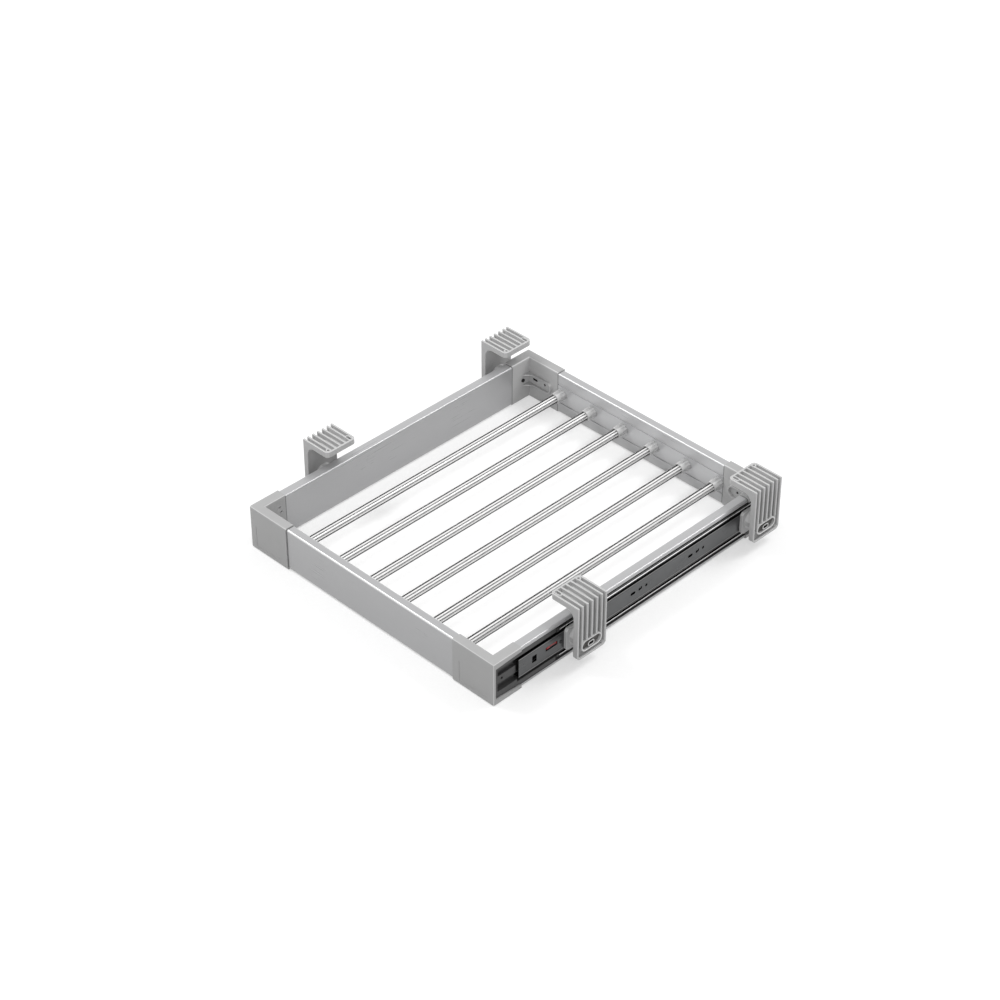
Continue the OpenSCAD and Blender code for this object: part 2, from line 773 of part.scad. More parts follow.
// Rack member: a rolled channel whose lips and flanges close round the outer balls
module rack_member_section() {
    difference() {
        translate([slide_t / 2, 0]) round_rect(slide_t, slide_h, 2 * sheet);
        translate([slide_t / 2, 0]) round_rect(slide_t - 2 * sheet, slide_h - 2 * sheet, sheet);
        translate([slide_t / 2, -lip_v]) square([slide_t, 2 * lip_v]);
        ball_rows(outer_ball_u, outer_ball_v) circle(outer_race_r);
    }
}

module rack_member() {
    difference() {
        slide_bar(rack_member_y0, rack_member_y1) rack_member_section();
        slide_screw_places() slide_screw_shape();
        translate([0, back_y - side_hole_y, 0])
            rod_x(channel_depth - sheet - over, channel_depth + over, small_screw_d);
    }
}

// Flat screw head sunk in the member's web, and a shank in the rail's web
module slide_screw_shape() {
    translate([channel_depth - sheet, 0, 0]) rotate([0, 90, 0])
        cylinder(h = sheet, d1 = small_head_d, d2 = small_screw_d);
    rod_x(channel_depth - sheet, channel_depth + side_web / 2, small_screw_d);
}

module left_rack_member() color(zinc) at_side(LEFT) rack_member();
module right_rack_member() color(zinc) at_side(RIGHT) rack_member();

module slide_screws() color(bright)
    for (side = [LEFT, RIGHT]) at_side(side) slide_screw_places() slide_screw_shape();

// Black end piece in front of the rack member, clear of the middle member
module buffer() {
    slide_bar(rack_member_y0 - buffer_l, rack_member_y0) difference() {
        translate([slide_t / 2, 0]) round_rect(slide_t, slide_h, 2 * sheet);
        translate([sheet, -middle_v - web_gap]) square([slide_t, 2 * (middle_v + web_gap)]);
    }
}

module slide_buffers() color(black) for (side = [LEFT, RIGHT]) at_side(side) buffer();

// Middle member: balls run on both faces of its flanges
module middle_member_section() {
    difference() {
        translate([middle_u, -middle_v]) square([middle_end_u - middle_u, 2 * middle_v]);
        translate([middle_u + sheet, -middle_in_v]) square([slide_t, 2 * middle_in_v]);
        ball_rows(outer_ball_u, outer_ball_v) circle(outer_race_r);
        ball_rows(inner_ball_u, inner_ball_v) circle(inner_race_r);
    }
}

module middle_member() slide_bar(middle_y0, middle_y1) middle_member_section();

module left_middle_member() color(zinc) at_side(LEFT) middle_member();
module right_middle_member() color(zinc) at_side(RIGHT) middle_member();

// Folded strip with a window for each ball
module cage_section(u, v, strip_u) {
    difference() {
        translate([u, -v - strip_t / 2]) square([strip_u - u, 2 * v + strip_t]);
        translate([u + cage_t, -v + strip_t / 2]) square([slide_t, 2 * v - strip_t]);
    }
}

module ball_places(u, v, y, l, count) {
    step = l / count;
    for (s = [-1, 1], i = [0 : count - 1])
        translate([channel_depth - u, y + (i - (count - 1) / 2) * step, s * v]) children();
}

module outer_ball_places() {
    ball_places(outer_ball_u, outer_ball_v, outer_cage_y, outer_cage_l, outer_ball_count) children();
}

module inner_ball_places() {
    ball_places(inner_ball_u, inner_ball_v, -inner_cage_y, inner_cage_l, inner_ball_count) children();
}

module outer_cage() {
    difference() {
        slide_bar(outer_cage_y - outer_cage_l / 2, outer_cage_y + outer_cage_l / 2)
            cage_section(outer_cage_u, outer_ball_v, outer_strip_u);
        outer_ball_places() cylinder(h = 2 * strip_t, d = outer_ball_d + 2 * ball_fit, center = true);
    }
}

module inner_cage() {
    difference() {
        slide_bar(-inner_cage_y - inner_cage_l / 2, -inner_cage_y + inner_cage_l / 2)
            cage_section(inner_cage_u, inner_ball_v, inner_strip_u);
        inner_ball_places() cylinder(h = 2 * strip_t, d = inner_ball_d + 2 * ball_fit, center = true);
    }
}

module left_outer_cage() color(zinc) at_side(LEFT) outer_cage();
module right_outer_cage() color(zinc) at_side(RIGHT) outer_cage();
module left_inner_cage() color(zinc) at_side(LEFT) inner_cage();
module right_inner_cage() color(zinc) at_side(RIGHT) inner_cage();
module left_outer_balls() color(bright) at_side(LEFT) outer_ball_places() sphere(d = outer_ball_d);
module right_outer_balls() color(bright) at_side(RIGHT) outer_ball_places() sphere(d = outer_ball_d);
module left_inner_balls() color(bright) at_side(LEFT) inner_ball_places() sphere(d = inner_ball_d);
module right_inner_balls() color(bright) at_side(RIGHT) inner_ball_places() sphere(d = inner_ball_d);

// Cabinet member: a flat face over two flanges that curl round the inner balls
module cabinet_member_section() {
    flange_w = cabinet_web_u - cabinet_flange_u + sheet / 2;
    difference() {
        union() {
            translate([cabinet_web_u, -cabinet_member_h / 2]) square([sheet, cabinet_member_h]);
            for (s = [-1, 1]) {
                translate([cabinet_flange_u, s * (cabinet_flange_v - sheet / 2) - sheet / 2])
                    square([flange_w, sheet]);
                intersection() {
                    translate([inner_ball_u, s * inner_ball_v]) circle(inner_race_r + sheet);
                    translate([cabinet_flange_u, -cabinet_flange_v]) square([flange_w, 2 * cabinet_flange_v]);
                }
            }
        }
        ball_rows(inner_ball_u, inner_ball_v) circle(inner_race_r);
    }
}

// Cuts through the face of the cabinet member: a plan of Y and Z points
module face_cut() {
    along_x(rail_step - over, rail_step + sheet + over) children();
}

module bracket_places() {
    for (s = [FRONT, BACK]) translate([0, s * bracket_pitch / 2, 0]) children();
}

module spacer_screw_places() {
    for (s = [-1, 1]) translate([0, s * spacer_screw_pitch / 2, 0]) children();
}

module cabinet_member() {
    difference() {
        slide_bar(cabinet_y0, cabinet_y1) cabinet_member_section();
        face_cut() translate([cabinet_y0 + square_hole_y, 0])
            square([square_hole_w, square_hole_h], center = true);
        face_cut() translate([lever_y - lever_l + tab_l / 2, tab_z - tab_h / 2 - window_below])
            translate([-window_l / 2, 0]) square([window_l, tab_h + window_below + window_above]);
        for (share = [front_group_share, back_group_share])
            translate([0, (share - 1 / 2) * bracket_pitch, 0]) {
                face_cut() translate([-hole_step, 0]) obround(group_slot_l, group_hole_w);
                face_cut() hook_hole();
                face_cut() translate([hole_step, 0]) circle(d = group_hole_w);
            }
        bracket_places() {
            rod_x(rail_step - over, rail_step + sheet + over, spacer_bore);
            spacer_screw_places() rod_x(rail_step - over, rail_step + sheet + over, screw_d + 2 * screw_gap);
        }
        translate([0, lever_y, lever_pin_z])
            rod_x(rail_step - over, rail_step + sheet + over, lever_pin_d);
    }
}

// Round hole with a narrower neck above it, for a hooked tongue
module hook_hole() {
    circle(d = group_hole_w);
    translate([0, -group_hole_w / 4]) square([group_hole_w, group_hole_w / 2]);
    translate([group_hole_w / 2, -group_hole_w / 4]) square([group_hole_w / 2, group_hole_w]);
}

module left_cabinet_member() color(zinc) at_side(LEFT) cabinet_member();
module right_cabinet_member() color(zinc) at_side(RIGHT) cabinet_member();

// Red lever behind the face of the cabinet member, its thumb tab in the window
module release_lever() {
    arm = lever_l - tab_l / 2;
    translate([channel_depth, lever_y, lever_pin_z]) difference() {
        union() {
            rod_x(-lever_u1, -lever_u0, lever_hub_d);
            along_x(-lever_u1, -lever_u0) polygon([
                [0, -lever_hub_d / 2], [-tab_h, -lever_hub_d / 2], [-arm, tab_rise - tab_h],
                [-lever_l, tab_rise - tab_h], [-lever_l, tab_rise + tab_h / 2],
                [-tab_h, tab_rise + tab_h / 2], [0, lever_hub_d / 2]
            ]);
            along_x(-slide_t, -lever_u1 + lever_t / 2)
                translate([-lever_l + tab_l / 2, tab_rise]) square([tab_l, tab_h], center = true);
        }
        rod_x(-slide_t, 0, lever_pin_d + 2 * lever_fit);
    }
}

module left_release_lever() color(red) at_side(LEFT) release_lever();
module right_release_lever() color(red) at_side(RIGHT) release_lever();

// Pins that carry the levers, headed on the face of the cabinet member and behind the lever
module lever_pin() {
    translate([channel_depth, lever_y, lever_pin_z]) {
        rod_x(-slide_t - lever_head_t, -lever_u0 + lever_gap + lever_head_t, lever_pin_d);
        rod_x(-slide_t - lever_head_t, -slide_t, lever_head_d);
        rod_x(-lever_u0 + lever_gap, -lever_u0 + lever_gap + lever_head_t, lever_head_d);
    }
}

module lever_pins() color(zinc) for (side = [LEFT, RIGHT]) at_side(side) lever_pin();

// Spacer between the cabinet member's face and the bracket's leg
module spacer() {
    pad_x = rail_step - pad_t;
    difference() {
        union() {
            along_x(pad_x, rail_step) round_rect(pad_l, 2 * (lip_v - pad_gap), pad_r);
            rod_x(leg_in_x, pad_x + over, boss_d);
        }
        rod_x(leg_in_x - over, rail_step + over, spacer_bore);
        spacer_screw_places() rod_x(leg_in_x - over, rail_step + over, screw_d + 2 * screw_gap);
    }
}

module at_bracket(side, end) {
    at_side(side) translate([0, end * bracket_pitch / 2, 0])
        mirror([0, side == RIGHT ? 1 : 0, 0]) children();
}

module front_left_spacer() color(moulding) at_bracket(LEFT, FRONT) spacer();
module front_right_spacer() color(moulding) at_bracket(RIGHT, FRONT) spacer();
module back_left_spacer() color(moulding) at_bracket(LEFT, BACK) spacer();
module back_right_spacer() color(moulding) at_bracket(RIGHT, BACK) spacer();

module spacer_screw() {
    head_x = rail_step + sheet;
    rod_x(head_x, head_x + screw_head_t, screw_head_d);
    rod_x(leg_in_x - screw_bite, head_x + screw_head_t / 2, screw_d);
}

module spacer_screws() color(bright) for (side = [LEFT, RIGHT], end = [FRONT, BACK])
    at_bracket(side, end) spacer_screw_places() spacer_screw();

// The hollow of the bracket's angle in X and Z, grown by the given wall
module bracket_hollow(wall) {
    x = leg_in_x - wall;
    z = flange_bottom + wall;
    r = bracket_inner_r + wall;
    w = flange_in - x + over;
    h = z + bracket_drop + over;
    translate([x + r, z - h]) square([w, h]);
    translate([x, z - h]) square([w, h - r]);
    translate([x + r, z - r]) circle(r);
}

// Outline of the bracket seen from above and from the side, drawn in by the given border
module bracket_envelope(border, top) {
    foot = -bracket_drop + border;
    w = bracket_w - 2 * border;
    r1 = foot_r - border;
    r2 = flange_end_r - border;
    end_x = flange_in - border;
    intersection() {
        along_x(bracket_x - top, flange_in + over) {
            translate([-w / 2, foot + r1]) square([w, bracket_rise + top - foot - r1]);
            translate([-w / 2 + r1, foot]) square([w - 2 * r1, bracket_rise - foot]);
            for (s = [-1, 1]) translate([s * (w / 2 - r1), foot + r1]) circle(r1);
        }
        along_z(-bracket_drop - over, bracket_rise + top) {
            translate([bracket_x - top, -w / 2]) square([end_x - r2 - bracket_x + top, w]);
            translate([bracket_x - top, -w / 2 + r2]) square([end_x - bracket_x + top, w - 2 * r2]);
            for (s = [-1, 1]) translate([end_x - r2, s * (w / 2 - r2)]) circle(r2);
        }
    }
}

module bracket_angle() {
    difference() {
        bracket_envelope(0, 0);
        along_y(-bracket_w, bracket_w) bracket_hollow(0);
    }
}

// What the grooves take away: all that lies outside the floor wall and inside the border
module bracket_pocket() {
    difference() {
        bracket_envelope(plate_t, over);
        along_y(-bracket_w, bracket_w) bracket_hollow(floor_wall);
    }
}

// Ribs from the long recess at the foot over the corner to the end of the flange
module bracket_ribs() {
    intersection() {
        bracket_angle();
        for (i = [0 : rib_count - 1])
            translate([bracket_x - over, (i - (rib_count - 1) / 2) * rib_pitch - plate_t / 2, 0])
                cube([bracket_reach + flange_in + over, plate_t, bracket_rise + over]);
    }
}

// Both flange holes lie the same distance in from the sides
flange_hole_y = bracket_w / 2 - flange_hole_edge;
slot_start = flange_in - plate_t;
hole_rim_d = flange_hole_d + 2 * flange_hole_rim;

module flange_hole_rims() {
    translate([flange_in - flange_hole_in, -flange_hole_y]) circle(d = hole_rim_d);
    translate([slot_start - flange_slot_l / 2, flange_hole_y])
        obround(flange_slot_l + 2 * flange_hole_rim, hole_rim_d);
}

module flange_holes() {
    translate([flange_in - flange_hole_in, -flange_hole_y]) circle(d = flange_hole_d);
    translate([slot_start - flange_slot_l / 2, flange_hole_y]) obround(flange_slot_l, flange_hole_d);
}

module bracket() {
    difference() {
        union() {
            difference() {
                bracket_angle();
                bracket_pocket();
            }
            bracket_ribs();
            intersection() {
                along_z(flange_bottom + over, bracket_rise) flange_hole_rims();
                bracket_envelope(0, 0);
            }
            along_x(bracket_x, leg_in_x - over)
                obround(foot_recess_l + 2 * foot_rim, foot_recess_h + 2 * foot_rim);
        }
        difference() {
            along_x(bracket_x - over, recess_floor_x) obround(foot_recess_l, foot_recess_h);
            along_x(recess_floor_x - slot_rim_h, recess_floor_x + over)
                translate([0, -slot_drop]) obround(slot_l + 2 * slot_rim, slot_w + 2 * slot_rim);
        }
        along_x(bracket_x - over, leg_in_x + over) translate([0, -slot_drop]) obround(slot_l, slot_w);
        along_z(flange_bottom - over, bracket_rise + over) flange_holes();
        spacer_screw_places() rod_x(leg_in_x - screw_bite, leg_in_x + over, screw_d);
    }
}

module front_left_bracket() color(moulding) at_bracket(LEFT, FRONT) bracket();
module front_right_bracket() color(moulding) at_bracket(RIGHT, FRONT) bracket();
module back_left_bracket() color(moulding) at_bracket(LEFT, BACK) bracket();
module back_right_bracket() color(moulding) at_bracket(RIGHT, BACK) bracket();

front_rail();
back_rail();
left_rail();
right_rail();
front_left_cap();
front_right_cap();
back_left_cap();
back_right_cap();
bar_1();
bar_2();
bar_3();
bar_4();
bar_5();
bar_6();
front_sockets();
back_sockets();
corner_screws();
left_channel_insert();
right_channel_insert();
left_rack_member();
right_rack_member();
slide_screws();
slide_buffers();
left_middle_member();
right_middle_member();
left_outer_cage();
right_outer_cage();
left_inner_cage();
right_inner_cage();
left_outer_balls();
right_outer_balls();
left_inner_balls();
right_inner_balls();
left_cabinet_member();
right_cabinet_member();
left_release_lever();
right_release_lever();
lever_pins();
front_left_spacer();
front_right_spacer();
back_left_spacer();
back_right_spacer();
front_left_bracket();
front_right_bracket();
back_left_bracket();
back_right_bracket();
spacer_screws();
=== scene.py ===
# %% [markdown]
# # A pull-out trouser rack
# The rack is a frame of extruded aluminium with moulded corner caps and six fluted hanging bars.
# It rides on two ball slides, and each slide hangs from two ribbed brackets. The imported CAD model
# already holds every solid in its place, so this lesson is about light and finishes, and about
# softening the edges of the few mouldings that need it.

# %% The frame
import json
import math

import bmesh
import bpy
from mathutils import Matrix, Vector

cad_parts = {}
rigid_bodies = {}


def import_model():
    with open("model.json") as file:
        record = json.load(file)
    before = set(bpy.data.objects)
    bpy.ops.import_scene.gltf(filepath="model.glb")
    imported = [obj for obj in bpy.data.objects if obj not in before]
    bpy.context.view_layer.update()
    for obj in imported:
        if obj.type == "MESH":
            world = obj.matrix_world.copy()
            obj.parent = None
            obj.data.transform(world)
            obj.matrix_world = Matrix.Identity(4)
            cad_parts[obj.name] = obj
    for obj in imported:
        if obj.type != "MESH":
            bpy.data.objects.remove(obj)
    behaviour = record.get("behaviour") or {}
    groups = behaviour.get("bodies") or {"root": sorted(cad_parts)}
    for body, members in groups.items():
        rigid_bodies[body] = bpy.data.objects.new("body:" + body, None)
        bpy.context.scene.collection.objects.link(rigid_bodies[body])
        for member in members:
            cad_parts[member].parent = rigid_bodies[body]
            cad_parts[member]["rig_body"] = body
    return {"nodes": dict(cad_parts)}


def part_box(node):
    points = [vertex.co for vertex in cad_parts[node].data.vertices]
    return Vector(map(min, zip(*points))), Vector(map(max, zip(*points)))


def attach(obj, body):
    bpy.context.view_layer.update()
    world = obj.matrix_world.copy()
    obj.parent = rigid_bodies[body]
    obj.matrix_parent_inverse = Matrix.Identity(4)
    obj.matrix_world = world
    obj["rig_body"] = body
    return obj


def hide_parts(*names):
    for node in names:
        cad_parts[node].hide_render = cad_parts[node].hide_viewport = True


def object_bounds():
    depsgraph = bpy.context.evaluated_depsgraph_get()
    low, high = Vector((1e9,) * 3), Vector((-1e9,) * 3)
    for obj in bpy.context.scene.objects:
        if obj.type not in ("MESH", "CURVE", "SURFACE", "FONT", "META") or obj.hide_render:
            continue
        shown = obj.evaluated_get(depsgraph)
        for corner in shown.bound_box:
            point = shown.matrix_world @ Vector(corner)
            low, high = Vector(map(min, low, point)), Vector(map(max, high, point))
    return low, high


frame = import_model()
nodes = frame["nodes"]
cad_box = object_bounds()
print(len(nodes), "CAD nodes")
print("box from", [round(v, 4) for v in cad_box[0]], "to", [round(v, 4) for v in cad_box[1]])

# %% [markdown]
# ## Camera
# The photograph was taken from the right and above, with a long lens. Its direction, distance and
# focal length were worked out from the known sizes of the rack, so the camera is placed by those
# numbers and isn't aimed by eye. It has no roll and no shift.

# %% The camera
eye = Vector((1.82158, -1.896195, 1.983713))
azimuth = 44.957
elevation = 37.087

lens = bpy.data.cameras.new("photo_lens")
lens.sensor_width = 36
lens.lens = 92.781
lens.clip_start = 0.1
lens.clip_end = 60
photo_camera = bpy.data.objects.new("photo_camera", lens)
photo_camera.location = eye
photo_camera.rotation_euler = (math.radians(90 - elevation), 0, math.radians(azimuth))
bpy.context.scene.collection.objects.link(photo_camera)
bpy.context.scene.camera = photo_camera
print("camera", round((eye - (cad_box[0] + cad_box[1]) / 2).length, 3), "m from the middle of the rack")

# %% [markdown]
# ## Shader sums
# A finish is mostly arithmetic on patterns: a little of this noise, less of it near there. Math
# nodes make that hard to read, so one small class wraps a socket and lets Python's own signs add
# the nodes. Everything that isn't arithmetic comes from a single method of the finish.


# %% A socket that can be used in sums
class Level:
    """A socket of a finish. Sums and products of levels add Math nodes."""

    def __init__(self, finish, socket):
        self.finish = finish
        self.socket = socket

    def sum_with(self, operation, first, second):
        return self.finish.node("ShaderNodeMath", {"operation": operation}, {0: first, 1: second})

    def __add__(self, other):
        return self.sum_with("ADD", self, other)

    __radd__ = __add__

    def __mul__(self, other):
        return self.sum_with("MULTIPLY", self, other)

    __rmul__ = __mul__

    def __sub__(self, other):
        return self.sum_with("SUBTRACT", self, other)

    def __rsub__(self, other):
        return self.sum_with("SUBTRACT", other, self)

    def off_half(self):
        """How far the level is from the half between two whole numbers, from -0.5 to 0.5."""
        return self.sum_with("FRACT", self, 0) - 0.5

    def size(self):
        """The level without its sign."""
        return self.sum_with("ABSOLUTE", self, 0)

    def larger(self, other):
        return self.sum_with("MAXIMUM", self, other)

    def above(self, low, high):
        """Nought below the low value and one above the high value, with a soft step between."""
        sockets = {"Value": self, "From Min": low, "From Max": high}
        return self.finish.node("ShaderNodeMapRange", {"interpolation_type": "SMOOTHSTEP"}, sockets)

    def below(self, high, low):
        """One below the low value and nought above the high value."""
        return 1 - self.above(low, high)

    def reaching(self, line, start, full):
        """Nought until the level is `start` short of a line, and one once it is `full` short of it."""
        return self.above(line - start, line - full)

    def short_of(self, line, start, full):
        """Nought until the level is `start` short of a line, and one where it is at least `full` short."""
        return self.below(line - start, line - full)


# %% A finish and its nodes
class Finish:
    """A material, or a world, whose nodes are added one by one."""

    def __init__(self, name, holder=None):
        self.material = holder or bpy.data.materials.new(name)
        self.material.use_nodes = True
        self.tree = self.material.node_tree
        self.tree.nodes.clear()
        self.place = self.node("ShaderNodeTexCoord", out="Object")

    def node(self, kind, settings=None, sockets=None, out=0):
        """Adds a node: its settings come first, then the values or links of its sockets."""
        made = self.tree.nodes.new(kind)
        for name, value in (settings or {}).items():
            setattr(made, name, value)
        by_identifier = {s.identifier: s for s in made.inputs}
        for name, value in (sockets or {}).items():
            target = by_identifier.get(name) or made.inputs[name]
            if isinstance(value, Level):
                self.tree.links.new(value.socket, target)
            else:
                target.default_value = value
        return Level(self, made.outputs[out]) if made.outputs else None

    def stretched(self, scale):
        """The object's own coordinates, stretched along an axis."""
        return self.node("ShaderNodeVectorMath", {"operation": "MULTIPLY"}, {0: self.place, 1: scale})

    def noise(self, scale, detail=2.0, stretch=(1, 1, 1), roughness=0.5):
        """Soft noise around zero; a scale of 1000 has spots of about a millimetre."""
        place = self.stretched(stretch)
        sockets = {"Vector": place, "Scale": scale, "Detail": detail, "Roughness": roughness}
        return self.node("ShaderNodeTexNoise", {"noise_dimensions": "3D"}, sockets) - 0.5

    def mixed(self, share, first, second):
        """A colour between two colours."""
        sockets = {"Factor_Float": share, "A_Color": first, "B_Color": second}
        return self.node("ShaderNodeMix", {"data_type": "RGBA"}, sockets, out=2)

    def layered(self, colour, *layers):
        """Lays tones over a colour one after another. A layer is a mask, its share and its tone."""
        for mask, share, tone in layers:
            colour = self.mixed(mask * share, colour, tone)
        return colour

    def parts(self, vector):
        """The three numbers of a vector."""
        outs = self.node("ShaderNodeSeparateXYZ", None, {"Vector": vector}).socket.node.outputs
        return [Level(self, out) for out in outs]

    def length(self, first, second):
        """How far a point is from nought, by its two distances along and up."""
        point = self.node("ShaderNodeCombineXYZ", None, {"X": first, "Y": second})
        return self.node("ShaderNodeVectorMath", {"operation": "LENGTH"}, {0: point}, out=1)

    def facing(self):
        """The three numbers of the surface's own direction."""
        return self.parts(self.node("ShaderNodeTexCoord", out="Normal"))

    def edges(self, low, high):
        """One on rounded edges, and nought on faces that look along an axis."""
        x, y, z = self.facing()
        return (1 - x.size().larger(y.size()).larger(z.size())).above(low, high)

    def tops(self):
        """One on faces that look up."""
        return self.facing()[2].above(0.85, 0.97)

    def bump(self, height, distance, strength=1.0, under=None):
        """Bumps of the given height in metres, on top of other bumps if there are any."""
        sockets = {"Height": height, "Distance": distance, "Strength": strength}
        if under is not None:
            sockets["Normal"] = under
        return self.node("ShaderNodeBump", None, sockets)

    def surface(self, **sockets):
        """Closes the finish with its one surface shader."""
        named = {name.replace("_", " "): value for name, value in sockets.items()}
        shader = self.node("ShaderNodeBsdfPrincipled", None, named)
        self.node("ShaderNodeOutputMaterial", None, {"Surface": shader})
        return self.material


def grey(value, warm=0.0, cool=0.0):
    """A grey by its linear lightness, with a little more red or blue."""
    return (value * (1 + warm), value, value * (1 - warm + cool), 1)


print("shader helpers are ready")

# %% [markdown]
# ## Lines to measure from
# Painted highlights and painted shade sit at seams, lips and edges. Their masks are distances
# from a few lines of the rack, which are read from the boxes of the CAD nodes. The rack is the
# same left and right, so a distance sideways is taken without its sign, and one mask serves both
# sides. A pair of numbers below says how far short of such a line a mask starts, and how far
# short of it the mask is full.

# %% Lines of the frame
RAIL_INNER, RAIL_FACE = sorted(abs(corner.x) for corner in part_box("right_rail"))
RAIL_MIDDLE = (RAIL_INNER + RAIL_FACE) / 2
CROSS_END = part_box("front_rail")[1].x
RACK_MIDDLE = sum(corner.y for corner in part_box("right_rail")) / 2
DEEP_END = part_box("right_rail")[1].y - RACK_MIDDLE
RACK_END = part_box("back_left_cap")[1].y - RACK_MIDDLE
FACE_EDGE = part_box("right_cabinet_member")[1].z
BRACKET_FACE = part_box("front_right_bracket")[1].x
BRACKET_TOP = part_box("front_right_bracket")[1].z
BRACKET_Y = sum(corner.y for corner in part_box("back_right_bracket")) / 2
LEVER_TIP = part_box("right_release_lever")[0].y
print("rail", round(RAIL_INNER, 4), "to", round(RAIL_FACE, 4), "bracket face", round(BRACKET_FACE, 4))

# %% [markdown]
# ## Extruded aluminium
# The rails are extrusions with a satin silver coat. Drawing a profile through its die leaves faint
# lines along its length, and the coat over them has a fine grain. Both are noise on the object's
# own coordinates: stretched almost a hundredfold along the rail for the lines, and even for the
# grain. Painted shade darkens the seams between a rail and its caps, rounded edges carry a painted
# highlight, the channel that only the slide sees is painted dark as shade, and the back rail is
# painted lighter than the others as light.

# %% Tones and masks of the rails
SILVER = (-0.002, 0.012)
SPREAD = 0.07
# Painted shade in the seams between the rails and their caps.
SEAM_SHADE, SEAM_SHADE_SHARE = grey(0.06), 0.75
SEAM = (0.0014, 0.0009)
TURNED_EDGE = (0.03, 0.1)
CHANNEL_WEB = (-0.0006, -0.0011)
CHANNEL_MOUTH = (0.0002, 0.0007)
CHANNEL_HALF = (0.0264, 0.0262)
UNDER_SLIDE = (-0.0228, -0.0224)


def satin_rail(name, along, light, edge_highlight_share, shades):
    finish = Finish(name)
    lines = finish.noise(900, detail=3, stretch=along)
    clouds = finish.noise(14, detail=3)
    grain = finish.noise(5200, detail=1)
    tone = 0.5 + lines * 0.3 + clouds * 0.45 + grain * 0.3
    darker, lighter = grey(light * (1 - SPREAD), *SILVER), grey(light * (1 + SPREAD), *SILVER)
    colour = finish.mixed(tone, darker, lighter)
    # Painted highlight: rounded edges are lightened toward near white.
    colour = finish.layered(colour, (finish.edges(0.01, 0.06), edge_highlight_share, grey(0.9)))
    return finish.surface(
        Base_Color=shades(finish, colour),
        Metallic=0.3,
        Roughness=0.29 + lines * 0.06 + clouds * 0.06,
        Normal=finish.bump(grain, 0.00002, 0.3, under=finish.bump(lines, 0.00003, 0.08)),
    )


def cross_rail_seams(finish, colour):
    """Painted shade in the seams between the front or back rail and its caps."""
    out = finish.parts(finish.place)[0].size()
    return finish.layered(colour, (out.reaching(CROSS_END, *SEAM), SEAM_SHADE_SHARE, SEAM_SHADE))


def back_rail_shades(finish, colour):
    """Painted shade: the inner face is darker toward its bottom, and the tops are painted darker to match.
    """
    height = finish.parts(finish.place)[2]
    lower_part = height.below(0.004, -0.024)
    colour = finish.layered(colour, (lower_part, 0.4, grey(0.3)), (finish.tops(), 0.8, grey(0.4, *SILVER)))
    return cross_rail_seams(finish, colour)


def side_rail_shades(finish, colour):
    """Painted highlights on inner lower edges, painted shade on outer lower edges, seams and the channel.
    """
    x, y, z = finish.parts(finish.place)
    out = x.size()
    lower_edge = finish.edges(*TURNED_EDGE) * finish.facing()[2].below(-0.1, -0.2)
    inner = out.below(RAIL_MIDDLE + 0.001, RAIL_MIDDLE)
    seam = (y - RACK_MIDDLE).size().reaching(DEEP_END, *SEAM)
    channel = out.reaching(RAIL_INNER, *CHANNEL_WEB) * out.short_of(RAIL_FACE, *CHANNEL_MOUTH)
    return finish.layered(
        colour,
        (lower_edge * inner, 0.9, grey(0.95)),
        (lower_edge * (1 - inner), 0.5, grey(0.12)),
        (seam, SEAM_SHADE_SHARE, SEAM_SHADE),
        (
            channel * z.size().below(*CHANNEL_HALF),
            1.0,
            finish.mixed(z.above(*UNDER_SLIDE), grey(0.09), grey(0.008)),
        ),
    )


# %% Satin silver for the rails
ALONG_X, ALONG_Y = (0.012, 1, 1), (1, 0.012, 1)
satin_across = satin_rail("satin_silver_across", ALONG_X, 0.415, 0.6, cross_rail_seams)
# Painted light: the back rail has the same coat, painted lighter than the front and side rails.
lit_satin_back = satin_rail("satin_silver_back", ALONG_X, 0.55, 0.2, back_rail_shades)
satin_deep = satin_rail("satin_silver_deep", ALONG_Y, 0.43, 0.0, side_rail_shades)
print("satin rails:", satin_across.name, lit_satin_back.name, satin_deep.name)

# %% [markdown]
# ## Hanging bars
# The bars are bright drawn tube. The drawing lines are finer than on the rails and the surface is
# smoother. The flutes are painted dark as shade, and a narrow strip along each flank is painted dark
# as a reflection. Both are found from the bar's own axis, which repeats at the pitch of the bars: a
# flute by its distance, and the strip by how far it leans along a set direction across the bar.

# %% Bright drawn tube
BAR_PITCH = 0.056
FLANK_LEAN_X, FLANK_LEAN_Z = 0.683, 0.731
FLUTE_RADIUS = (0.0059, 0.0053)
FLANK_SHADE_UP_TO, FLANK_SHADE_FROM = (0.0041, 0.0029), (-0.0012, -0.0002)

drawn = Finish("bright_drawn_tube")
drawn_lines = drawn.noise(1800, detail=2, stretch=(1, 0.006, 1))
drawn_clouds = drawn.noise(24, detail=2)
bar_x, _, bar_z = drawn.parts(drawn.place)
from_middle = (bar_x * (1 / BAR_PITCH)).off_half() * BAR_PITCH
in_flute = drawn.length(from_middle, bar_z).below(*FLUTE_RADIUS)
flank_lean = from_middle * FLANK_LEAN_X + bar_z * FLANK_LEAN_Z
painted_dark_flank = flank_lean.below(*FLANK_SHADE_UP_TO) * flank_lean.above(*FLANK_SHADE_FROM)
land_level = 0.5 + drawn_lines * 0.4 + drawn_clouds * 0.4
land_tone = drawn.mixed(land_level, grey(0.8, 0.004), grey(0.92, 0.004))
bright_tube = drawn.surface(
    # Painted shade darkens the flutes, and a painted dark reflection runs along each flank.
    Base_Color=drawn.layered(land_tone, (in_flute, 1.0, grey(0.16)), (painted_dark_flank, 1.0, grey(0.035))),
    Metallic=0.45,
    Roughness=0.26 + drawn_lines * 0.06 + drawn_clouds * 0.05,
    Normal=drawn.bump(drawn_lines, 0.00001, 0.06),
)
print("bars:", bright_tube.name)

